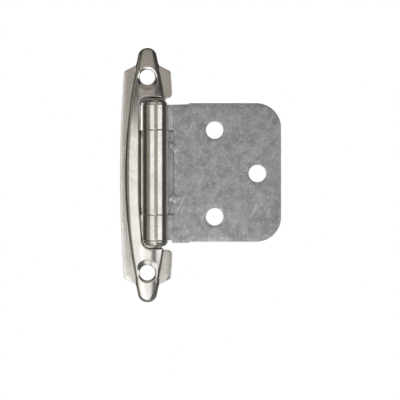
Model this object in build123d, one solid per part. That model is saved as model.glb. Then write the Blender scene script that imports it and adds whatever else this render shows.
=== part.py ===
from build123d import *
import os
from math import asin, degrees, hypot, sqrt

# Self-closing cabinet hinge for a face frame, shown closed: both leaves lie with their backs on
# the plane y = 0 and the viewer stands at -Y. Millimetres, +Z up, +X towards the door. The origin
# is midway between the two screw holes of the frame leaf, on the plane that it is screwed to.

# Both leaves are pressed from strip of one thickness
SHEET = 1.3

# Barrel: three knuckles rolled round one pin
BARREL_R = 3.55
BORE_R = BARREL_R - SHEET
PIN_R = BORE_R - 0.05
AXIS_X = 2.25
BARREL_BACK = 0.6  # the barrel's back stands this far off the mounting plane
AXIS_Y = -(BARREL_BACK + BARREL_R)
BARREL_TOP, BARREL_BOTTOM = 19.3, -18.0
KNUCKLE_TOP, KNUCKLE_BOTTOM = 12.15, -10.85  # the frame leaf's knuckle is the middle one
KNUCKLE_PLAY = 0.12  # gap along the pin between two knuckles
HEAD_PLAY = 0.05  # gap along the pin under each of its heads
CURL_GAP = 0.2  # slit between a curl's end and the strap that it comes back to

# Heads of the pin, formed over the outer knuckles
HEAD_R = 3.4
HEAD_RIM = 0.45
HEAD_H = 1.6

# Frame leaf: a raised hollow spindle, arched both ways, that runs into two tongues on a flat rim
LEAF_LENGTH = 70.0
ARCH_H = 4.0  # height of the spindle at mid-length
HOLE_Z = 26.8
HOLE_ARCH_H = 2.6  # height of the spindle at the screw holes
CROSS_R = 10.0  # radius of the arch across the spindle
SPINDLE_HALF = 6.3  # half width at mid-length
SPINDLE_R = 135.0
TONGUE_HALF = 3.3  # half width of a tongue at its root, which ends at TONGUE_Z
TONGUE_Z = 29.6
TONGUE_TIP = 2.2  # half width that its sides taper to
NOSE_R = 2.6
WAIST_R = 5.0
TAPER_R = 5.0  # rounds the start of a tongue's taper
CROWN_R = 1.2
RIM_HALF = 7.5
RIM_R = 375.0
SHOULDER_Z = 28.4  # the rim's sides end here and run aslant into the tongues
RIM_PEAK = 31.8  # where the two slants would meet
SHOULDER_R = 1.1

# Countersunk screw holes, whose dimples reach down to the mounting plane
SCREW_R = 2.1
SINK_R = 3.1
SINK_DEPTH = 1.0
DIMPLE_FOOT_R = 2.9
DIMPLE_TOP_R = 4.1

# Cut-out for the barrel, with a wall that slopes down beside it
CUT_TOP, CUT_BOTTOM = 21.05, -20.55
CUT_X = -2.4  # upper edge of the wall
WALL_SLOPE = 1.2  # the foot of the wall is this much nearer the barrel
CUT_KNEE_Z = -8.0  # below it, the wall slants towards the lower ear
CUT_KNEE_R = 25.0
CUT_SLANT = 1.0
CUT_TOP_R, CUT_FOOT_R = 1.7, 2.2
CUT_EDGE = 0.5  # bevel along the cut-out's upper edge
EAR_R = 1.4

# Door leaf: a flat plate with a neck, joggled up to the barrel's back
PLATE_RIGHT = 36.7
PLATE_TOP, PLATE_BOTTOM = 19.7, -18.35
PLATE_R = 6.85
NECK_TOP, NECK_BOTTOM = 19.4, -18.65
NECK_END = 11.4
BEND_X = 7.2  # front of the bend beside the barrel
JOGGLE_RUN = 1.75
DOOR_HOLES = ((18.45, 12.3), (18.45, -11.5), (30.2, 0.4))
DOOR_HOLE_R = 2.4

# Notched edge of the door leaf between its knuckles: two slots, two prongs and a window
SLOT_X = 7.05
SLOT_LENGTH = 3.45
PRONG_X = 5.95
PRONG_TIP, PRONG_ROOT = 1.15, 2.8
WINDOW_X = 7.25

# Closing spring: a blade behind the middle knuckle, with ears up through the slots
BLADE = 0.5
BLADE_BACK = -0.05
BLADE_LEFT = 0.8
BLADE_PLAY = 0.6
EAR_LENGTH = 2.3
EAR_RISE = 1.9
TAB_PLAY = 0.25

FAR = 60.0  # beyond the hinge on any side


def front_plane(y=0.0):
    """A drawing plane that faces the viewer, with the sheet's x and y along +X and +Z."""
    return Plane(origin=(0, y, 0), x_dir=(1, 0, 0), z_dir=(0, -1, 0))


def lens(radius, half_width, end):
    """Two shallow arcs, half_width out at the middle and cut off at each end."""
    side = Circle(radius)
    both = Pos(half_width - radius, 0) * side & Pos(radius - half_width, 0) * side
    return both & Rectangle(4 * half_width, 2 * end)


def vertices_near(face, z, least_x=-FAR, most_x=FAR):
    return [v for v in face.vertices() if abs(v.Y - z) < 0.3 and least_x < v.X < most_x]


def spindle_face(inset):
    """The lens with its two tapered tongues, drawn in from the outline by inset."""
    tip, root = LEAF_LENGTH / 2, (TONGUE_HALF, TONGUE_Z)
    right = [(TONGUE_TIP, -tip), (root[0], -root[1]), root, (TONGUE_TIP, tip)]
    tongues = make_face(Polyline(*right, *[(-x, z) for x, z in reversed(right)], close=True))
    tongues = fillet(vertices_near(tongues, tip) + vertices_near(tongues, -tip), NOSE_R)
    tongues = fillet(vertices_near(tongues, TONGUE_Z) + vertices_near(tongues, -TONGUE_Z), TAPER_R)
    face = lens(SPINDLE_R, SPINDLE_HALF, TONGUE_Z - 1) + tongues
    waists = [v for v in face.vertices() if 20 < abs(v.Y) < TONGUE_Z - 1.2]
    return offset(fillet(waists, WAIST_R), -inset) if inset else fillet(waists, WAIST_R)


def arch_radius():
    fall = ARCH_H - HOLE_ARCH_H
    return (HOLE_Z**2 + fall**2) / (2 * fall)


def spindle(inset):
    """The spindle's outer form under its double arch, or its hollow where inset is the sheet."""
    top = Torus(arch_radius() - CROSS_R, CROSS_R - inset, rotation=(0, 90, 0))
    top = Pos(0, arch_radius() - ARCH_H, 0) * top
    return extrude(front_plane() * spindle_face(inset), 2 * ARCH_H) & top


def cut_outline(left):
    """Outline of the cut-out where its left side is at x = left."""
    sides = Polyline(
        (left + CUT_SLANT, CUT_BOTTOM), (FAR, CUT_BOTTOM), (FAR, CUT_TOP), (left, CUT_TOP), (left, CUT_KNEE_Z)
    )
    slant = Line((left, CUT_KNEE_Z), (left + CUT_SLANT, CUT_BOTTOM))
    face = make_face(Curve() + [sides, slant])
    face = fillet(vertices_near(face, CUT_KNEE_Z), CUT_KNEE_R)
    face = fillet(vertices_near(face, CUT_TOP, most_x=FAR / 2), CUT_TOP_R)
    return fillet(vertices_near(face, CUT_BOTTOM, most_x=FAR / 2), CUT_FOOT_R)


def cut_out(inset):
    """The barrel's space. Its left side slopes, and its upper and lower sides are sheared plain."""
    faces = []
    for y in (-3 * ARCH_H, 1.0):
        left = CUT_X - inset + WALL_SLOPE * (y + ARCH_H) / ARCH_H
        faces.append(front_plane(y) * cut_outline(left))
    return loft(faces, ruled=True)


def on_arch(edge):
    middle = edge @ 0.5
    along = hypot(middle.Y + ARCH_H - arch_radius(), middle.Z)
    return abs(hypot(along - arch_radius() + CROSS_R, middle.X) - CROSS_R) < 0.02


def in_cut(edge):
    middle = edge @ 0.5
    return CUT_BOTTOM - 0.1 < middle.Z < CUT_TOP + 0.1 and middle.X > CUT_X - 0.1


def raised_spindle():
    """The spindle with its rounded crown, and the cut-out with its bevelled edge."""
    solid = spindle(0)
    solid = fillet([e for e in solid.edges() if on_arch(e)], CROWN_R)
    solid = solid - cut_out(0)
    return chamfer([e for e in solid.edges() if on_arch(e) and in_cut(e)], CUT_EDGE)


def rim():
    """The flat rim: two shallow arcs with slanted shoulders, and an ear above and below the cut."""
    end = RIM_HALF - RIM_R + sqrt(RIM_R**2 - SHOULDER_Z**2)
    peak = make_face(Polyline((-end, SHOULDER_Z), (0, RIM_PEAK), (end, SHOULDER_Z), close=True))
    face = lens(RIM_R, RIM_HALF, SHOULDER_Z) + peak + mirror(peak, about=Plane.XZ)
    face = fillet(vertices_near(face, SHOULDER_Z) + vertices_near(face, -SHOULDER_Z), SHOULDER_R)
    plate = extrude(front_plane() * face, SHEET) - cut_out(0)
    upright = [e for e in plate.edges() if abs(e.center().Y + SHEET / 2) < 0.01]
    corners = [e for e in upright if e.center().X > RIM_HALF - 1 and abs(e.center().Z) < CUT_TOP + 0.1]
    return fillet(corners, EAR_R)


def dimple(z):
    """Solid foot of a screw hole, and the countersink and hole that are cut from it."""
    foot = Cone(DIMPLE_TOP_R, DIMPLE_FOOT_R, SHEET, align=(Align.CENTER, Align.CENTER, Align.MIN))
    sink = Cone(SCREW_R, SINK_R, SINK_DEPTH, align=(Align.CENTER, Align.CENTER, Align.MIN))
    clear = Cylinder(SINK_R, SHEET, align=(Align.CENTER, Align.CENTER, Align.MIN))
    cut = Cylinder(SCREW_R, FAR) + Pos(0, 0, HOLE_ARCH_H - SINK_DEPTH) * sink + Pos(0, 0, HOLE_ARCH_H) * clear
    seat = front_plane() * Pos(0, z, 0)
    return seat * Pos(0, 0, SHEET) * Rot(180, 0, 0) * foot, seat * cut


def knuckle(top, bottom, side):
    """A knuckle with its strap from one side, +1 from the right or -1 from the left."""
    gap_angle = degrees(asin((BARREL_R - SHEET - CURL_GAP) / BARREL_R))
    ring = Circle(BARREL_R) - Circle(BORE_R)
    wedge = make_face(
        Polyline((0, 0), (0, FAR), (FAR, FAR), Vector(FAR, 0).rotate(Axis.Z, gap_angle), close=True)
    )
    ring = ring - wedge
    if side < 0:
        ring = mirror(ring, about=Plane.YZ)
    return Pos(AXIS_X, AXIS_Y, bottom) * extrude(ring, top - bottom)


def frame_leaf():
    """One pressing, from the countersunk tongues to the middle knuckle."""
    leaf = raised_spindle() + rim() - (spindle(SHEET) - cut_out(SHEET))
    for z in (HOLE_Z, -HOLE_Z):
        foot, cut = dimple(z)
        leaf = leaf + foot - cut
    strap = Box(AXIS_X - CUT_X, SHEET, KNUCKLE_TOP - KNUCKLE_BOTTOM, align=(Align.MAX, Align.MAX, Align.MIN))
    strap = Pos(AXIS_X, -BARREL_BACK, KNUCKLE_BOTTOM) * strap
    return leaf + strap + knuckle(KNUCKLE_TOP, KNUCKLE_BOTTOM, -1)


def door_section():
    """The door leaf's sheet seen from above, from its outer edge to the back of the barrel."""
    slope = BARREL_BACK / JOGGLE_RUN
    lead = SHEET * (hypot(1, slope) - 1) / slope  # how far a bend's back runs ahead of its front
    back = [(PLATE_RIGHT, 0), (BEND_X - lead, 0)]
    back += [(BEND_X - lead - JOGGLE_RUN, -BARREL_BACK), (AXIS_X, -BARREL_BACK)]
    front = [(x, y - SHEET) for x, y in reversed(back)]
    front[1], front[2] = (front[1][0] + lead, front[1][1]), (front[2][0] + lead, front[2][1])
    return make_face(Polyline(*back, *front, close=True))


def notch():
    """What is cut away between the door leaf's knuckles: slots, prongs and the window."""
    top, bottom = KNUCKLE_TOP + KNUCKLE_PLAY, KNUCKLE_BOTTOM - KNUCKLE_PLAY
    slot_end = top - SLOT_LENGTH
    points = [(AXIS_X - BARREL_R, top), (SLOT_X, top), (SLOT_X, slot_end), (PRONG_X, slot_end)]
    points += [(PRONG_X, slot_end - PRONG_TIP), (WINDOW_X, slot_end - PRONG_ROOT)]
    middle = (top + bottom) / 2
    points += [(x, 2 * middle - z) for x, z in reversed(points)]
    return make_face(Polyline(*points, close=True))


def door_outline():
    """The plate with its two round corners, and the slightly shifted neck beside the barrel."""
    plate = Pos((NECK_END + PLATE_RIGHT) / 2, (PLATE_TOP + PLATE_BOTTOM) / 2) * Rectangle(
        PLATE_RIGHT - NECK_END, PLATE_TOP - PLATE_BOTTOM
    )
    plate = fillet([v for v in plate.vertices() if v.X > NECK_END + 1], PLATE_R)
    width = NECK_END - AXIS_X + 1
    neck = Rectangle(width, NECK_TOP - NECK_BOTTOM)
    return plate + Pos(NECK_END + 1 - width / 2, (NECK_TOP + NECK_BOTTOM) / 2) * neck


def door_leaf():
    """One flat pressing with the two outer knuckles."""
    sheet = extrude(Plane.XY.offset(PLATE_BOTTOM - 1) * door_section(), PLATE_TOP - PLATE_BOTTOM + 2)
    blank = door_outline() - notch()
    for x, z in DOOR_HOLES:
        blank = blank - Pos(x, z) * Circle(DOOR_HOLE_R)
    sheet = sheet & extrude(front_plane(1) * blank, 4 * SHEET)
    above = Pos(AXIS_X, AXIS_Y, BARREL_TOP - HEAD_PLAY) * Box(
        2 * BARREL_R + 2, 4 * BARREL_R, 2, align=(Align.CENTER, Align.CENTER, Align.MIN)
    )
    below = Pos(AXIS_X, AXIS_Y, BARREL_BOTTOM + HEAD_PLAY) * Box(
        2 * BARREL_R + 2, 4 * BARREL_R, 2, align=(Align.CENTER, Align.CENTER, Align.MAX)
    )
    upper = knuckle(BARREL_TOP - HEAD_PLAY, KNUCKLE_TOP + KNUCKLE_PLAY, 1)
    lower = knuckle(KNUCKLE_BOTTOM - KNUCKLE_PLAY, BARREL_BOTTOM + HEAD_PLAY, 1)
    return sheet - above - below + upper + lower


def hinge_pin():
    """A plain pin with a domed head at each end."""
    rise = HEAD_H - HEAD_RIM
    dome_r = (HEAD_R**2 + rise**2) / (2 * rise)
    top, bottom = BARREL_TOP, BARREL_BOTTOM
    shank = Pos(0, 0, bottom) * Cylinder(PIN_R, top - bottom, align=(Align.CENTER, Align.CENTER, Align.MIN))
    dome = Pos(0, 0, HEAD_H - dome_r) * Sphere(dome_r)
    head = Cylinder(HEAD_R, HEAD_H, align=(Align.CENTER, Align.CENTER, Align.MIN)) & dome
    pin = shank + Pos(0, 0, top) * head + Pos(0, 0, bottom) * Rot(180, 0, 0) * head
    return Pos(AXIS_X, AXIS_Y, 0) * pin


def closing_spring():
    """The blade lies behind the knuckle, shows in the window and hooks up through the slots."""
    top, bottom = KNUCKLE_TOP - BLADE_PLAY, KNUCKLE_BOTTOM + BLADE_PLAY
    slot_top, slot_bottom = KNUCKLE_TOP + KNUCKLE_PLAY, KNUCKLE_BOTTOM - KNUCKLE_PLAY
    middle = (slot_top + slot_bottom) / 2
    joggle_end = BEND_X - JOGGLE_RUN - TAB_PLAY
    strip = make_face(
        Polyline((BLADE_LEFT, bottom), (joggle_end, bottom), (joggle_end, top), (BLADE_LEFT, top), close=True)
    )
    strip = fillet([v for v in strip.vertices() if v.X < joggle_end - 1], 1.5)
    window_top = slot_top - SLOT_LENGTH - PRONG_ROOT - TAB_PLAY
    tab_slope = PRONG_ROOT - PRONG_TIP
    tab = [(joggle_end, window_top + tab_slope), (PRONG_X, window_top + tab_slope)]
    tab.append((WINDOW_X - TAB_PLAY, window_top))
    tab += [(x, 2 * middle - z) for x, z in reversed(tab)]
    blade = strip + make_face(Polyline(*tab, close=True))
    ear_top = slot_top - (SLOT_LENGTH - EAR_LENGTH) / 2
    ears = []
    for z in (ear_top - EAR_LENGTH / 2, 2 * middle - ear_top + EAR_LENGTH / 2):
        foot = Pos((joggle_end + SLOT_X) / 2, z) * Rectangle(SLOT_X - joggle_end, EAR_LENGTH)
        blade = blade + foot
        ear = Box(BLADE, EAR_RISE, EAR_LENGTH, align=(Align.MAX, Align.MAX, Align.CENTER))
        ears.append(Pos(SLOT_X, BLADE_BACK, z) * ear)
    spring = extrude(front_plane(BLADE_BACK) * blade, BLADE)
    for ear in ears:
        spring = spring + ear
    return spring


os.makedirs("parts", exist_ok=True)
for name, make in (
    ("frame_leaf", frame_leaf),
    ("door_leaf", door_leaf),
    ("hinge_pin", hinge_pin),
    ("closing_spring", closing_spring),
):
    solid = make()
    print(name, round(solid.volume, 1), len(solid.solids()), solid.is_valid)
    export_step(solid, f"parts/{name}.step")
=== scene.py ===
from math import asin, cos, pi, radians, sin

import bmesh
import bpy
import numpy as np
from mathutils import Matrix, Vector
from mathutils.geometry import delaunay_2d_cdt


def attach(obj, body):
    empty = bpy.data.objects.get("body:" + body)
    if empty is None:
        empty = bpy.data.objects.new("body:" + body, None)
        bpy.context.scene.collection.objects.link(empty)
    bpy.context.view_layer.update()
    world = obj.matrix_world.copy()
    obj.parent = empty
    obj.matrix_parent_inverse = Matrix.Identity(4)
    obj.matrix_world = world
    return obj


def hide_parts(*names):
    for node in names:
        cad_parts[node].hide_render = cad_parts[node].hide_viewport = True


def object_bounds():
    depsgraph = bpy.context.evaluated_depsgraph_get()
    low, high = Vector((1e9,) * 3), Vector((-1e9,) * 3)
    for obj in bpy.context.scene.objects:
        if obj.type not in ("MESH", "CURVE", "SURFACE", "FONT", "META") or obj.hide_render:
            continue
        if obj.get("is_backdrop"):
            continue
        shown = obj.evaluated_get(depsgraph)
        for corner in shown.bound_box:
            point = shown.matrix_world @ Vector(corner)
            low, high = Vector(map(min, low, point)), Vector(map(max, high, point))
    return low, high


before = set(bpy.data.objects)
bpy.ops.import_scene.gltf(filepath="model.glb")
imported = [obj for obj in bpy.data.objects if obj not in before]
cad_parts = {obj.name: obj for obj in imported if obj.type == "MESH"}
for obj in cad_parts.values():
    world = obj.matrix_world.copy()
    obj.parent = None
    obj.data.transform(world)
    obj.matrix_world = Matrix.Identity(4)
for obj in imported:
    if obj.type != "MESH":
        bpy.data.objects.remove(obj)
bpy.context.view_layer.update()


# Frame leaf. The decorative half of the hinge, which is screwed to the face frame: one sheet of mild
# steel, blanked, drawn into a raised hollow spindle with a flat rim, and plated with satin nickel.
# Sizes are in millimetres, x and z in the plane of the leaf and heights towards the viewer.
MM = 0.001
MESH_STEP, CREASE_GAP, MERGED = 0.3, 0.05, 1e-5
SHEET = 1.3
RIM_HALF, RIM_R, RIM_END = 7.5, 375.0, 28.0
SPINDLE_HALF, SPINDLE_R = 6.3, 135.0
TONGUE_Z = 30.4
ARCH_H, HOLE_Z, HOLE_ARCH_H = 4.0, 26.8, 2.6
ARCH_R = (HOLE_Z**2 + (ARCH_H - HOLE_ARCH_H) ** 2) / (2 * (ARCH_H - HOLE_ARCH_H))
CROSS_R = 14.0
CROWN_R, CROWN_SWELL, CROWN_REACH, FALL_LIMIT = 1.4, 0.7, 30.0, 0.7
FLANK, FLANK_SLOPE = 0.015, 5
RIM_TILT, RIM_FALL = 0.09, 1.4
VALLEY_R = 0.25
CUT_TOP, CUT_BOTTOM, CUT_FOOT_X = 21.05, -20.55, -1.2
LIP_TOP, LIP_BOTTOM = 20.35, -19.35
WALL_SLOPE, WALL_FOOT, SHOULDER = 0.3, 0.35, 1.6
SCREW_R, SINK_R, SINK_DEPTH = 2.1, 3.45, 0.62
SINK_ROUND, SINK_WALL = 0.12, 4
HOLLOW_ROUND, HOLLOW_SLOPE, WALL_SPARE = 0.5, 4, 0.1
FOOT_R, FOOT_SLOPE, FOOT_ROUND = 2.9, 1.08, 0.2
LEAF_EDGE = 0.14


def rounded(corners):
    """A closed outline from corners (x, z, radius), as evenly spaced points."""
    points = []
    count = len(corners)
    for i, (x, z, radius) in enumerate(corners):
        here = np.array((x, z))
        back = np.array(corners[i - 1][:2]) - here
        ahead = np.array(corners[(i + 1) % count][:2]) - here
        back, ahead = back / np.linalg.norm(back), ahead / np.linalg.norm(ahead)
        half = np.arccos(np.clip(back @ ahead, -1, 1)) / 2
        if radius == 0 or half > pi / 2 - 1e-4:
            points.append(here)
            continue
        centre = here + (back + ahead) / np.linalg.norm(back + ahead) * radius / sin(half)
        start = here + back * radius / np.tan(half) - centre
        sweep = pi - 2 * half
        turn = 1 if start[0] * (here - centre)[1] - start[1] * (here - centre)[0] > 0 else -1
        steps = max(3, int(sweep / radians(6)))
        for k in range(steps + 1):
            a = turn * sweep * k / steps
            x, z = start[0] * cos(a) - start[1] * sin(a), start[0] * sin(a) + start[1] * cos(a)
            points.append(centre + (x, z))
    return spaced(np.array(points), MESH_STEP, True)


def spaced(points, step, closed=False):
    """The same polyline with no run longer than step."""
    ends = np.roll(points, -1, axis=0) if closed else points[1:]
    starts = points if closed else points[:-1]
    out = []
    for a, b in zip(starts, ends):
        parts = max(1, int(np.ceil(np.linalg.norm(b - a) / step)))
        if np.linalg.norm(b - a) > 1e-6:
            out.extend(a + (b - a) * k / parts for k in range(parts))
    return np.array(out if closed else out + [points[-1]])


def inward(loop):
    """Unit vectors into the sheet at each point of a loop that runs anticlockwise around it."""
    run = np.roll(loop, -1, axis=0) - np.roll(loop, 1, axis=0)
    run /= np.linalg.norm(run, axis=1)[:, None]
    return np.column_stack((-run[:, 1], run[:, 0]))


def inside(points, loops):
    """Whether each point lies within an odd number of loops."""
    odd = np.zeros(len(points), bool)
    for loop in loops:
        a, b = loop, np.roll(loop, -1, axis=0)
        for (ax, az), (bx, bz) in zip(a, b):
            if az != bz:
                hit = (points[:, 1] < az) != (points[:, 1] < bz)
                odd ^= hit & (points[:, 0] < ax + (points[:, 1] - az) * (bx - ax) / (bz - az))
    return odd


def distance(points, loop):
    """Distance of each point from a closed loop, and the unit vector towards the nearest place on it."""
    a = loop
    run = np.roll(loop, -1, axis=0) - a
    long = np.maximum((run**2).sum(1), 1e-12)
    gap, way = np.empty(len(points)), np.empty((len(points), 2))
    batch = 2000
    for i in range(0, len(points), batch):
        p = points[i:i + batch, None, :]
        t = np.clip(((p - a) * run).sum(2) / long, 0, 1)
        off = a + t[:, :, None] * run - p
        size = np.sqrt((off**2).sum(2))
        near = size.argmin(1)
        rows = np.arange(len(near))
        gap[i:i + batch] = size[rows, near]
        way[i:i + batch] = off[rows, near] / np.maximum(size[rows, near], 1e-9)[:, None]
    return gap, way


def blend_low(a, b, width):
    """The lower of two heights, with the corner between them rounded over width."""
    h = np.maximum(width - np.abs(a - b), 0) / width
    return np.minimum(a, b) - h * h * width / 4


def circle(x, z, radius):
    """A round outline, anticlockwise."""
    a = np.arange(0, 2 * pi, 2 * pi / max(24, round(2 * pi * radius / MESH_STEP)))
    return np.column_stack((x + radius * np.cos(a), z + radius * np.sin(a)))


def placed(name, data):
    """A new object in the scene."""
    made = bpy.data.objects.new(name, data)
    bpy.context.scene.collection.objects.link(made)
    return made


def pressing(name, outline, holes, lines, front, back, edge):
    """A closed piece of sheet in metres: front and back heights over one outline, with rounded edges.

    The outline runs anticlockwise and each hole clockwise. The mesh follows lines as creases."""
    loops = [outline] + holes
    kept = [loop + inward(loop) * edge for loop in loops]
    points, edges = [], []
    for loop in kept:
        first = len(points)
        points.extend(loop)
        edges.extend((first + i, first + (i + 1) % len(loop)) for i in range(len(loop)))
    for line in lines:
        clear = inside(line, kept)
        for loop in kept:
            clear &= distance(line, loop)[0] > CREASE_GAP
        for i, p in enumerate(line):
            if clear[i]:
                points.append(p)
                if i and clear[i - 1]:
                    edges.append((len(points) - 2, len(points) - 1))
    filled = delaunay_2d_cdt([Vector(p) for p in points], edges, [], 1, MERGED)
    flat, _, triangles, sources, _, _ = filled
    flat = np.array([tuple(v) for v in flat])
    place = {old: new for new, olds in enumerate(sources) for old in olds}
    faces = np.array([f for f in triangles if len(f) == 3])
    faces = faces[~inside(flat[faces].mean(1), kept[1:])]
    a, b, c = flat[faces[:, 0]], flat[faces[:, 1]], flat[faces[:, 2]]
    turned = (b - a)[:, 0] * (c - a)[:, 1] - (b - a)[:, 1] * (c - a)[:, 0] < 0
    faces[turned] = faces[turned][:, ::-1]
    count = len(flat)
    verts = [np.column_stack((flat[:, 0], -front(flat), flat[:, 1]))]
    verts.append(np.column_stack((flat[:, 0], -back(flat), flat[:, 1])))
    polys = [tuple(f) for f in faces] + [tuple(f[::-1] + count) for f in faces]
    total, first = 2 * count, 0
    for loop, ring in zip(loops, kept):
        rows = [np.array([place[first + i] for i in range(len(ring))])]
        first += len(ring)
        out = -inward(loop)
        turns = [(k, front, 1) for k in (30, 60, 90)] + [(k, back, -1) for k in (90, 60, 30)]
        for k, height, side in turns:
            at = ring + out * edge * sin(radians(k))
            eased = height(at) - side * edge * (1 - cos(radians(k)))
            verts.append(np.column_stack((at[:, 0], -eased, at[:, 1])))
            rows.append(np.arange(total, total + len(ring)))
            total += len(ring)
        rows.append(rows[0] + count)
        for upper, lower in zip(rows, rows[1:]):
            polys.extend(zip(upper, lower, np.roll(lower, -1), np.roll(upper, -1)))
    polys = [tuple(dict.fromkeys(int(i) for i in p)) for p in polys]
    mesh = bpy.data.meshes.new(name)
    mesh.from_pydata((np.vstack(verts) * MM).tolist(), [], [p for p in polys if len(p) > 2])
    bm = bmesh.new()
    bm.from_mesh(mesh)
    bmesh.ops.delete(bm, geom=[v for v in bm.verts if not v.link_faces], context="VERTS")
    bmesh.ops.remove_doubles(bm, verts=bm.verts, dist=1e-6)
    bmesh.ops.recalc_face_normals(bm, faces=bm.faces)
    bm.to_mesh(mesh)
    bm.free()
    return placed(name, mesh)


def smooth(piece, angle):
    """Smooth shading, with the edges over angle kept crisp."""
    piece.data.shade_smooth()
    piece.data.set_sharp_from_angle(angle=radians(angle))


def spindle_side(z):
    """Half width of the lens that the spindle is, before its tongues."""
    return SPINDLE_HALF - SPINDLE_R + np.sqrt(SPINDLE_R**2 - z**2)


def rim_side(z):
    """Half width of the whole leaf."""
    return RIM_HALF - RIM_R + np.sqrt(RIM_R**2 - z**2)


lens_right = [(spindle_side(z), z, 0) for z in np.arange(-27, 27.1, 1.0)]
spindle_right = [(2.2, -35, 2.6), (3.3, -29.6, 5), (3.3, -28.3, 5), *lens_right]
spindle_right += [(3.3, 28.3, 5), (3.3, 29.6, 5), (2.2, 35, 2.6)]
spindle_line = rounded(spindle_right + [(-x, z, r) for x, z, r in reversed(spindle_right)])

rim_low = [(3.2, -30.1, 0.4), (6.42, -28.4, 1.1)]
rim_low += [(rim_side(z), z, 0) for z in np.arange(-27, -22.9, 1)]
rim_high = [(x, -z, r) for x, z, r in reversed(rim_low)]
lip = [(3.6, LIP_BOTTOM, 0.5), (-0.4, LIP_BOTTOM, 1.6), (CUT_FOOT_X, -8.0, 25)]
lip += [(CUT_FOOT_X, LIP_TOP, 1.0), (4.6, LIP_TOP, 0.5)]
ears = [(6.94, CUT_BOTTOM, 1.4), (4.6, CUT_BOTTOM, 0.4), *lip]
ears += [(5.3, CUT_TOP, 0.4), (6.91, CUT_TOP, 1.4)]
leaf_right = [(2.2, -35, 2.6), *rim_low, *ears, *rim_high, (2.2, 35, 2.6)]
leaf_left = [(-2.2, 35, 2.6), *[(-x, z, r) for x, z, r in reversed(rim_high)]]
leaf_left += [(-rim_side(z), z, 0) for z in np.arange(22, -22.1, -1)]
leaf_left += [*[(-x, z, r) for x, z, r in reversed(rim_low)], (-2.2, -35, 2.6)]
leaf_line = rounded(leaf_right + leaf_left)

# The foot of the wall round the barrel, read off the leaf's own outline and doubled back to close it
within = (leaf_line[:, 0] > -3) & (leaf_line[:, 0] < 4.3)
wall = leaf_line[within & (leaf_line[:, 1] > LIP_BOTTOM - 0.01) & (leaf_line[:, 1] < LIP_TOP + 0.01)]
wall_loop = np.vstack((wall, wall[::-1]))


def arched_top(p, sink=0.0):
    """Height of the double arch, drawn in by sink."""
    along = ARCH_R - CROSS_R + np.sqrt(np.maximum((CROSS_R - sink) ** 2 - p[:, 0] ** 2, 1))
    return np.sqrt(along**2 - p[:, 1] ** 2) - (ARCH_R - ARCH_H)


def leaf_front(p):
    """Front of the leaf: the rim, the spindle's crown, the wall at the cut-out and the countersinks."""
    gap, way = distance(p, spindle_line)
    depth = np.where(inside(p, [spindle_line]), gap, -gap)
    crown = CROWN_R + CROWN_SWELL * np.cos(np.clip(p[:, 1] / CROWN_REACH, -1, 1) * pi / 2) ** 2
    fall = np.abs(way[:, 0] * p[:, 0]) / CROSS_R + np.abs(way[:, 1] * p[:, 1]) / ARCH_R
    slope = np.tan(np.arcsin(np.clip(fall, 0, FALL_LIMIT)))
    t = np.clip(crown - depth, 0, (1 - FLANK) * crown)
    round_over = t * slope - crown * np.sqrt(1 + slope**2) + np.sqrt(crown**2 - t**2)
    on_crown = depth < crown * (1 - slope / np.sqrt(1 + slope**2))
    height = arched_top(p) + np.where(on_crown, round_over, 0)
    steep = FLANK * crown
    height = np.where(depth < steep, height + (depth - steep) * FLANK_SLOPE, height)
    side = rim_side(np.clip(p[:, 1], -RIM_END, RIM_END))
    rim_gap = np.clip(side - np.abs(p[:, 0]), 0, RIM_FALL)
    rim = SHEET - RIM_TILT * (1 - rim_gap / RIM_FALL) ** 1.5
    tongue = np.abs(p[:, 1]) > TONGUE_Z
    height = np.where(tongue, height, -blend_low(-height, -rim, VALLEY_R))
    height = blend_low(height, WALL_FOOT + distance(p, wall_loop)[0] / WALL_SLOPE, SHOULDER)
    out = np.hypot(p[:, 0], np.abs(p[:, 1]) - HOLE_Z)
    sink = HOLE_ARCH_H - SINK_DEPTH + (out - SCREW_R) * SINK_DEPTH / (SINK_R - SCREW_R)
    sink = np.where(out > SINK_R, HOLE_ARCH_H + (out - SINK_R) * SINK_WALL, sink)
    return blend_low(height, sink, SINK_ROUND)


def leaf_back(p):
    """Back of the leaf: the mounting plane, the spindle's hollow and the feet of the screw holes."""
    gap = distance(p, spindle_line)[0]
    depth = np.where(inside(p, [spindle_line]), gap, -gap)
    height = blend_low(arched_top(p, SHEET), (depth - SHEET) * HOLLOW_SLOPE, HOLLOW_ROUND)
    from_wall = distance(p, wall_loop)[0] - SHEET - WALL_SPARE
    height = blend_low(height, from_wall / WALL_SLOPE, HOLLOW_ROUND)
    out = np.hypot(p[:, 0], np.abs(p[:, 1]) - HOLE_Z)
    height = blend_low(height, (out - FOOT_R) * FOOT_SLOPE, FOOT_ROUND)
    return np.maximum(height, 0)


# Creases: along the spindle's edge, down its length, along the rims, up the wall, round the holes
creases = []
into = inward(spindle_line)
for d in (-0.8, -0.5, -0.3, -0.18, -0.08, 0.0, 0.04, 0.09, 0.25, 0.36, 0.5, 0.68, 0.9, 1.12):
    creases.append(spindle_line + into * d)
for d in (1.34, 1.5, 1.7, 1.95, 2.2):
    creases.append(spindle_line + into * d)
for share in np.linspace(-0.56, 0.56, 19):
    z = np.arange(-31.5, 31.6, 0.5)
    creases.append(np.column_stack((share * spindle_side(np.clip(z, -RIM_END, RIM_END)), z)))
for gap in (0.35, 0.7, 1.05, 1.4):
    z = np.arange(-27.6, 27.7, 0.4)
    creases.append(np.column_stack((rim_side(z) - gap, z)))
    creases.append(np.column_stack((gap - rim_side(z), z)))
for h in (0.5, 1.1, 1.8, 2.5, 3.0, 3.4, 3.8, 4.2, 4.7, 5.3, 6.0, 7.0, 8.2):
    creases.append(wall + inward(wall) * h * WALL_SLOPE)
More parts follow.
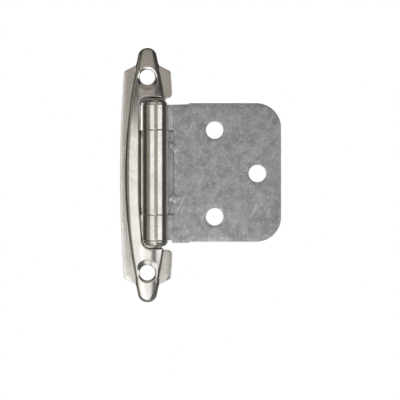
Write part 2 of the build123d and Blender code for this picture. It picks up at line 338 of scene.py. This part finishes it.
for z in (HOLE_Z, -HOLE_Z):
    for r in (2.45, 2.7, 2.95, 3.2, 3.34, 3.41, 3.46, 3.52, 3.6, 3.75, 4.0, 4.4):
        loop = circle(0, z, r)
        creases.append(np.vstack((loop, loop[:1])))
screw_holes = [circle(0, z, SCREW_R)[::-1] for z in (HOLE_Z, -HOLE_Z)]
frame_leaf = pressing("frame_leaf_plate", leaf_line, screw_holes, creases, leaf_front, leaf_back, LEAF_EDGE)
smooth(frame_leaf, 50)


def add(tree, kind, settings={}, inputs={}):
    """Adds a node with its settings. An input is a value, or the output that it is linked to."""
    made = tree.nodes.new(kind)
    for name, value in settings.items():
        setattr(made, name, value)
    for name, value in inputs.items():
        if isinstance(value, bpy.types.NodeSocket):
            tree.links.new(value, made.inputs[name])
        else:
            made.inputs[name].default_value = value
    return made


# The middle knuckle is the strap of metal left beside the cut-out, curled round a mandrel until its
# end comes back to the strap. Both leaves are rolled by this tree, so that it holds for each barrel.
AXIS_X, AXIS_Y = 2.25, -4.15
BARREL_R, BORE_R, BARREL_BACK = 3.55, 2.25, 0.6
ROLL_R = (BARREL_R + BORE_R) / 2
CURL_GAP = 0.2
CURL = 2 * pi - radians(90) + asin((BARREL_R - SHEET - CURL_GAP) / BARREL_R)
COLUMN = 0.2
KNUCKLE_HIGH, KNUCKLE_LOW, STRAP_X, KNUCKLE_EDGE = 12.24, -10.94, -2.6, 0.1


def rolled_sheet():
    """Bends a flat blank round the barrel's axis, past a small joggle."""
    tree = bpy.data.node_groups.new("rolled_sheet", "GeometryNodeTree")
    face = tree.interface
    face.new_socket("Blank", in_out="INPUT", socket_type="NodeSocketGeometry")
    for label in ("Axis X", "Axis Y", "Roll Radius", "Bend X", "Joggle Run", "Joggle Rise", "Side"):
        face.new_socket(label, in_out="INPUT", socket_type="NodeSocketFloat")
    face.new_socket("Finish", in_out="INPUT", socket_type="NodeSocketMaterial")
    face.new_socket("Sheet", in_out="OUTPUT", socket_type="NodeSocketGeometry")
    size = add(tree, "NodeGroupInput").outputs
    position = add(tree, "GeometryNodeInputPosition").outputs[0]
    at = add(tree, "ShaderNodeSeparateXYZ", {}, {0: position}).outputs

    def calc(operation, a, b=0.0):
        return add(tree, "ShaderNodeMath", {"operation": operation}, {0: a, 1: b}).outputs[0]

    past = calc("MULTIPLY", calc("SUBTRACT", size["Axis X"], at[0]), size["Side"])
    run = calc("MULTIPLY", calc("SUBTRACT", size["Bend X"], at[0]), size["Side"])
    eased = {"interpolation_type": "SMOOTHSTEP"}
    share = add(tree, "ShaderNodeMapRange", eased, {"Value": run, 2: size["Joggle Run"]}).outputs[0]
    level = calc("SUBTRACT", at[1], calc("MULTIPLY", share, size["Joggle Rise"]))
    turn = calc("DIVIDE", calc("MAXIMUM", past, 0.0), size["Roll Radius"])
    reach = calc("SUBTRACT", level, size["Axis Y"])
    across = calc("ADD", calc("MULTIPLY", reach, calc("SINE", turn)), calc("MINIMUM", past, 0.0))
    x = calc("SUBTRACT", size["Axis X"], calc("MULTIPLY", across, size["Side"]))
    y = calc("ADD", size["Axis Y"], calc("MULTIPLY", reach, calc("COSINE", turn)))
    moved = add(tree, "ShaderNodeCombineXYZ", {}, {0: x, 1: y, 2: at[2]}).outputs[0]
    bent = add(tree, "GeometryNodeSetPosition", {}, {"Geometry": size["Blank"], "Position": moved})
    real = add(tree, "GeometryNodeRealizeInstances", {}, {0: bent.outputs[0]})
    coat = {"Geometry": real.outputs[0], "Material": size["Finish"]}
    done = add(tree, "GeometryNodeSetMaterial", {}, coat)
    add(tree, "NodeGroupOutput", {}, {0: done.outputs[0]})
    return tree


def roll(blank, tree, side, bend_x, run, rise, finish):
    """Rolls a blank and makes the result a plain mesh."""
    modifier = blank.modifiers.new("rolled", "NODES")
    modifier.node_group = tree
    values = {"Axis X": AXIS_X, "Axis Y": AXIS_Y, "Roll Radius": ROLL_R, "Bend X": bend_x}
    values.update({"Joggle Run": run, "Joggle Rise": rise})
    for item in tree.interface.items_tree:
        if item.in_out == "INPUT" and item.name in values:
            modifier[item.identifier] = values[item.name] * MM
        elif item.name == "Side":
            modifier[item.identifier] = float(side)
        elif item.name == "Finish":
            modifier[item.identifier] = finish
    evaluated = blank.evaluated_get(bpy.context.evaluated_depsgraph_get())
    mesh = bpy.data.meshes.new_from_object(evaluated)
    blank.modifiers.clear()
    blank.data = mesh


def plain(height):
    """The height function of a plain face."""
    return lambda p: np.full(len(p), height)


def linear(hexed):
    """An sRGB hex colour as linear RGBA."""
    parts = [int(hexed[i:i + 2], 16) / 255 for i in (0, 2, 4)]
    return (*[c / 12.92 if c <= 0.04045 else ((c + 0.055) / 1.055) ** 2.4 for c in parts], 1.0)


# Satin nickel: plated over polished steel. It is soft-bright and a little warm, with fine polishing
# lines along the leaf. The real lines are too fine for the picture, so they are drawn 0.2 mm wide.
FLECK_MM, HAIR_MM, HAIR_DRAWN, HAIR_LEAN = 0.55, 0.4, 0.06, -24


def plated(name, light, dark, rough, line_mm, drawn, blotch_mm, scuff, scratched=0.0):
    """A metal surface with polishing lines, cloudy patches, rubbed specks and some long scratches.

    The lines are long on the axes where drawn is small."""
    finish = bpy.data.materials.new(name)
    finish.use_nodes = True
    tree = finish.node_tree
    tree.nodes.clear()
    where = add(tree, "ShaderNodeTexCoord").outputs["Object"]
    stretched = add(tree, "ShaderNodeMapping", {}, {"Vector": where, "Scale": drawn}).outputs[0]
    noise, ramp, maths, blend = "ShaderNodeTexNoise", "ShaderNodeMapRange", "ShaderNodeMath", "ShaderNodeMix"
    brush = {"Vector": stretched, "Scale": 1 / (line_mm * MM), "Detail": 3.0, "Roughness": 0.6}
    brush = add(tree, noise, {}, brush).outputs[0]
    cloud = {"Vector": where, "Scale": 1 / (blotch_mm * MM), "Detail": 5.0, "Roughness": 0.62}
    cloud = add(tree, noise, {}, cloud).outputs[0]
    fleck = {"Vector": where, "Scale": 1 / (FLECK_MM * MM), "Detail": 2.0, "Roughness": 0.5}
    fleck = add(tree, noise, {}, fleck).outputs[0]
    leaning = {"Vector": where, "Rotation": (0, radians(HAIR_LEAN), 0)}
    leaning = add(tree, "ShaderNodeMapping", {}, leaning).outputs[0]
    long = add(tree, "ShaderNodeMapping", {}, {"Vector": leaning, "Scale": (1.0, 1.0, HAIR_DRAWN)}).outputs[0]
    hair = add(tree, noise, {}, {"Vector": long, "Scale": 1 / (HAIR_MM * MM), "Detail": 1.0}).outputs[0]

    patch = add(tree, ramp, {}, {"Value": cloud, 1: 0.36, 2: 0.64}).outputs[0]
    rubbed = add(tree, ramp, {}, {"Value": fleck, 1: 0.54, 2: 0.92}).outputs[0]
    mark = add(tree, ramp, {}, {"Value": hair, 1: 0.69, 2: 0.8, 4: scratched}).outputs[0]
    speck = add(tree, maths, {"operation": "MAXIMUM"}, {0: rubbed, 1: mark}).outputs[0]
    colour = {0: patch, 6: linear(dark), 7: linear(light)}
    colour = add(tree, blend, {"data_type": "RGBA"}, colour).outputs[2]
    tint = {0: speck, 6: colour, 7: linear("e2e1e1")}
    tint = add(tree, blend, {"data_type": "RGBA"}, tint).outputs[2]

    low = {"Value": brush, 1: 0.3, 2: 0.7, 3: rough - 0.04, 4: rough + 0.05}
    low = add(tree, ramp, {}, low).outputs[0]
    gloss = add(tree, maths, {"operation": "MULTIPLY_ADD"}, {0: patch, 1: -scuff, 2: low}).outputs[0]
    relief = add(tree, maths, {"operation": "MULTIPLY_ADD"}, {0: cloud, 1: 0.6, 2: brush}).outputs[0]
    bump = {"Height": relief, "Strength": 0.2, "Distance": 0.02 * MM}
    bump = add(tree, "ShaderNodeBump", {}, bump).outputs[0]
    metal = {"Base Color": tint, "Metallic": 1.0, "Roughness": gloss, "Normal": bump}
    shader = add(tree, "ShaderNodeBsdfPrincipled", {}, metal)
    add(tree, "ShaderNodeOutputMaterial", {}, {"Surface": shader.outputs[0]})
    return finish


satin_nickel = plated("satin_nickel_plate", "dddad6", "ccc9c3", 0.195, 0.2, (1.0, 1.0, 0.3), 5.0, 0.03)

roll_tree = rolled_sheet()
strap_end = AXIS_X + CURL * ROLL_R
strap = [(x, KNUCKLE_LOW, 0.16) for x in (STRAP_X, strap_end)]
strap += [(x, KNUCKLE_HIGH, 0.16) for x in (strap_end, STRAP_X)]
columns = [spaced(np.array(((x, -10.6), (x, 11.9))), 1.2) for x in np.arange(AXIS_X, strap_end, COLUMN)]
knuckle = pressing(
    "frame_leaf_knuckle", rounded(strap), [], columns,
    plain(BARREL_BACK + SHEET), plain(BARREL_BACK), KNUCKLE_EDGE,
)
roll(knuckle, roll_tree, -1, AXIS_X, 1, 0, satin_nickel)
smooth(knuckle, 50)
for piece in (frame_leaf, knuckle):
    piece.data.materials.clear()
    piece.data.materials.append(satin_nickel)
    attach(piece, "frame_side")
    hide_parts("frame_leaf")


# Door leaf. A plain stamped plate for the back of the door, of the same sheet. Its left edge is
# joggled up to the barrel, notched for the spring, and curled into the upper and lower knuckles.
BEND_X, JOGGLE_RUN, POLISHED_X = 7.2, 1.75, 5.6
DOOR_HOLES, DOOR_HOLE_R = ((18.45, 12.3), (18.45, -11.5), (30.2, 0.4)), 2.4
KNUCKLE_GAP, DOOR_EDGE = 0.03, 0.12

# Nickel plate over unpolished rolled steel: grey, cloudy, scuffed all over and lightly scratched.
# The rolled grain is drawn 0.35 mm wide, coarser than the real one, so that it shows.
scuffed_nickel = plated(
    "scuffed_nickel_plate", "bcbcc0", "9d9da1", 0.38, 0.35, (1.0, 1.0, 0.7), 2.2, 0.05, scratched=1.0,
)
curl_end = AXIS_X - CURL * ROLL_R
upper_cut, lower_cut = KNUCKLE_HIGH + KNUCKLE_GAP, KNUCKLE_LOW - KNUCKLE_GAP
plate_corners = [
    (36.7, 19.7, 6.85), (11.4, 19.7, 0.14), (11.4, 19.4, 0.14), (6.8, 19.25, 0.5),
    (curl_end, 19.25, 0.16), (curl_end, upper_cut, 0.16), (7.05, upper_cut, 0.2), (7.05, 8.82, 0.2),
    (5.95, 8.82, 0.2), (5.95, 7.67, 0.2), (7.25, 6.02, 0.3), (7.25, -4.72, 0.3), (5.95, -6.37, 0.2),
    (5.95, -7.52, 0.2), (7.05, -7.52, 0.2), (7.05, lower_cut, 0.2), (curl_end, lower_cut, 0.16),
    (curl_end, -17.95, 0.16), (6.8, -17.95, 0.2), (6.8, -18.65, 0.2), (11.4, -18.65, 0.14),
    (11.4, -18.35, 0.14), (36.7, -18.35, 6.85),
]
door_holes = [circle(x, z, DOOR_HOLE_R)[::-1] for x, z in DOOR_HOLES]
columns = []
for x in np.arange(curl_end + COLUMN, 8.0, COLUMN):
    for low, high in ((-17.7, -11.2), (12.5, 19.0)):
        columns.append(spaced(np.array(((x, low), (x, high))), 1.2))
for x in np.arange(9.0, 36.0, 1.5):
    columns.append(spaced(np.array(((x, -18.0), (x, 19.4))), 1.5))
door_leaf = pressing(
    "door_leaf_plate", rounded(plate_corners), door_holes, columns, plain(SHEET), plain(0.0), DOOR_EDGE,
)
roll(door_leaf, roll_tree, 1, BEND_X, JOGGLE_RUN, BARREL_BACK, scuffed_nickel)
smooth(door_leaf, 50)
door_leaf.data.materials.clear()
door_leaf.data.materials.append(scuffed_nickel)
door_leaf.data.materials.append(satin_nickel)
for face in door_leaf.data.polygons:
    face.material_index = int(face.center.x < POLISHED_X * MM)
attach(door_leaf, "door_side")
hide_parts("door_leaf")


# Hinge pin. Headed steel wire through all three knuckles; its second head is formed on assembly,
# so both ends are low domes that sit on the barrel with a small bead round them. The lower head
# stands a little taller. The pin has the satin nickel plate of the frame leaf.
PIN_R, HEAD_R, HEAD_H, LOWER_RISE = 2.2, 3.4, 1.6, 1.2
BEAD_R, BEAD_H, SIDES = 3.1, 0.62, 96
BARREL_TOP, BARREL_BOTTOM = 19.3, -18.0
head = [(HEAD_R - 0.12, 0.0), (HEAD_R - 0.03, 0.05), (HEAD_R, 0.16), (HEAD_R, 0.36)]
head += [(HEAD_R - 0.05, 0.5), (HEAD_R - 0.16, 0.58), (BEAD_R, BEAD_H)]
for k in range(1, 15):
    a = k / 14 * pi / 2
    head.append((BEAD_R * cos(a), BEAD_H + (HEAD_H - BEAD_H) * sin(a) ** 0.9))
profile = [(r, BARREL_TOP + h) for r, h in reversed(head)] + [(PIN_R, BARREL_TOP), (PIN_R, BARREL_BOTTOM)]
profile += [(r, BARREL_BOTTOM - h * LOWER_RISE) for r, h in head]
turned = bmesh.new()
rings = []
for r, z in profile:
    around = [2 * pi * k / SIDES for k in range(SIDES if r > 1e-6 else 1)]
    ring = [Vector((AXIS_X + r * cos(a), AXIS_Y + r * sin(a), z)) * MM for a in around]
    rings.append([turned.verts.new(place) for place in ring])
for upper, lower in zip(rings, rings[1:]):
    for k in range(SIDES):
        pairs = ((upper, k), (upper, k + 1), (lower, k + 1), (lower, k))
        corners = [row[i % len(row)] for row, i in pairs]
        turned.faces.new(list(dict.fromkeys(corners)))
bmesh.ops.recalc_face_normals(turned, faces=turned.faces)
pin_mesh = bpy.data.meshes.new("hinge_pin_turned")
turned.to_mesh(pin_mesh)
turned.free()
pin = placed("hinge_pin_turned", pin_mesh)
smooth(pin, 60)
pin_mesh.materials.append(satin_nickel)
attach(pin, "frame_side")
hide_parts("hinge_pin")


# Closing spring. A blade of hardened spring steel behind the barrel, hooked through the two slots.
# What fills the slots behind it can't be seen, so the flange is a guess that keeps daylight out.
FLANGE_FRONT, FLANGE_BACK, FLANGE_EDGE = 0.3, 0.06, 0.03

# Spring steel as rolled and tempered: duller and bluer than the plate. Its rolled grain runs across
# the hinge and is drawn 0.15 mm wide, coarser than the real one, so that it shows.
spring_steel = plated("tempered_spring_steel", "c9c8cc", "b5b4ba", 0.4, 0.15, (0.1, 1.0, 1.0), 4.0, 0.03)
flange_line = rounded([(7.8, -11.3, 0.2), (7.8, 12.6, 0.2), (4.9, 12.6, 0.2), (4.9, -11.3, 0.2)])
flange = pressing(
    "closing_spring_flange", flange_line, [], [], plain(FLANGE_FRONT), plain(FLANGE_BACK), FLANGE_EDGE,
)
smooth(flange, 50)
flange.data.materials.append(spring_steel)
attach(flange, "door_side")
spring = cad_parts["closing_spring"]
spring.data.materials.clear()
spring.data.materials.append(spring_steel)


# Studio. The hinge hangs over a pale floor before a white backdrop, in a room that is dim in front.
# Soft panels stand where its highlights need them; the low one lights the frame leaf's lower half.
FLOOR_HALF, FLOOR_Z = 3.0, -0.62
floor_mesh = bpy.data.meshes.new("studio_floor")
corners = [(x * FLOOR_HALF, y * FLOOR_HALF, FLOOR_Z) for x, y in ((-1, -1), (1, -1), (1, 1), (-1, 1))]
floor_mesh.from_pydata(corners, [], [(0, 1, 2, 3)])
floor = placed("studio_floor", floor_mesh)

# Matt white paint. It glows for the camera alone, which gives the picture its white ground.
FLOOR_GLOW = 0.92
paint = bpy.data.materials.new("white_studio_paint")
paint.use_nodes = True
tree = paint.node_tree
tree.nodes.clear()
seen = add(tree, "ShaderNodeLightPath").outputs["Is Camera Ray"]
coat = add(tree, "ShaderNodeBsdfPrincipled", {}, {"Base Color": linear("f4f4f2"), "Roughness": 0.8})
share = add(tree, "ShaderNodeMath", {"operation": "MULTIPLY"}, {0: seen, 1: FLOOR_GLOW}).outputs[0]
glow = add(tree, "ShaderNodeEmission", {}, {"Color": (1, 1, 1, 1), "Strength": share})
both = add(tree, "ShaderNodeAddShader", {}, {0: coat.outputs[0], 1: glow.outputs[0]})
add(tree, "ShaderNodeOutputMaterial", {}, {"Surface": both.outputs[0]})
floor_mesh.materials.append(paint)
floor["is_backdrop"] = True

# The camera sees white all round, and the metal sees white behind the hinge and a dim room elsewhere
world = bpy.data.worlds.new("studio_room")
bpy.context.scene.world = world
world.use_nodes = True
tree = world.node_tree
tree.nodes.clear()
seen = add(tree, "ShaderNodeLightPath").outputs["Is Camera Ray"]
facing = add(tree, "ShaderNodeTexCoord").outputs["Generated"]
depth = add(tree, "ShaderNodeSeparateXYZ", {}, {0: facing}).outputs[1]
eased = {"interpolation_type": "SMOOTHSTEP"}
share = add(tree, "ShaderNodeMapRange", eased, {"Value": depth, 1: 0.6, 2: 0.95}).outputs[0]
walls = {0: share, 6: linear("4a4846"), 7: linear("ffffff")}
walls = add(tree, "ShaderNodeMix", {"data_type": "RGBA"}, walls).outputs[2]
room = add(tree, "ShaderNodeBackground", {}, {"Color": walls, "Strength": 1.0})
white = add(tree, "ShaderNodeBackground", {}, {"Color": (1, 1, 1, 1), "Strength": 1.0})
mixed = add(tree, "ShaderNodeMixShader", {}, {0: seen, 1: room.outputs[0], 2: white.outputs[0]})
add(tree, "ShaderNodeOutputWorld", {}, {0: mixed.outputs[0]})


PANEL_AWAY = 0.6


def panel(name, azimuth, elevation, width, height, radiance, tint="ffffff"):
    """A soft panel that faces the hinge; its angles are in degrees as the hinge sees it."""
    data = bpy.data.lights.new(name, "AREA")
    data.shape = "RECTANGLE"
    data.size = 2 * PANEL_AWAY * np.tan(radians(width / 2))
    data.size_y = 2 * PANEL_AWAY * np.tan(radians(height / 2))
    data.energy = radiance * pi * data.size * data.size_y
    data.color = linear(tint)[:3]
    lamp = placed(name, data)
    a, e = radians(azimuth), radians(elevation)
    lamp.location = Vector((sin(a) * cos(e), -cos(a) * cos(e), sin(e))) * PANEL_AWAY
    lamp.rotation_euler = lamp.location.to_track_quat("Z", "Y").to_euler()


panel("left_strip", -30.5, -18.5, 37, 55, 1.2)
panel("left_fill", -66, -5, 32, 60, 0.27, "fff3e0")
panel("right_strip", 40, -3.5, 41, 25, 1.35)
panel("low_panel", -3, -33, 24, 58, 1.2)
panel("front_fill", -2, 16, 36, 42, 0.34, "fff8ee")
panel("high_fill", 0, 58, 60, 44, 0.24, "fff5e6")
panel("back_light", 165, 18, 50, 40, 1.0)

# The photograph was taken square on, from far enough away to be almost flat
CAMERA_AWAY, VIEW_WIDTH, SENSOR = 0.7, 0.1094, 36
VIEW_X, VIEW_Z = 0.01443, -0.0069
shot = bpy.data.cameras.new("camera")
camera = placed("camera", shot)
camera.location = (VIEW_X, -CAMERA_AWAY, VIEW_Z)
camera.rotation_euler = (radians(90), 0, 0)
shot.sensor_width = SENSOR
shot.lens = SENSOR * (CAMERA_AWAY - ARCH_H * MM) / VIEW_WIDTH
shot.clip_start = 0.01
bpy.context.scene.camera = camera
bpy.context.scene.view_settings.view_transform = "Standard"

low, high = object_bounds()
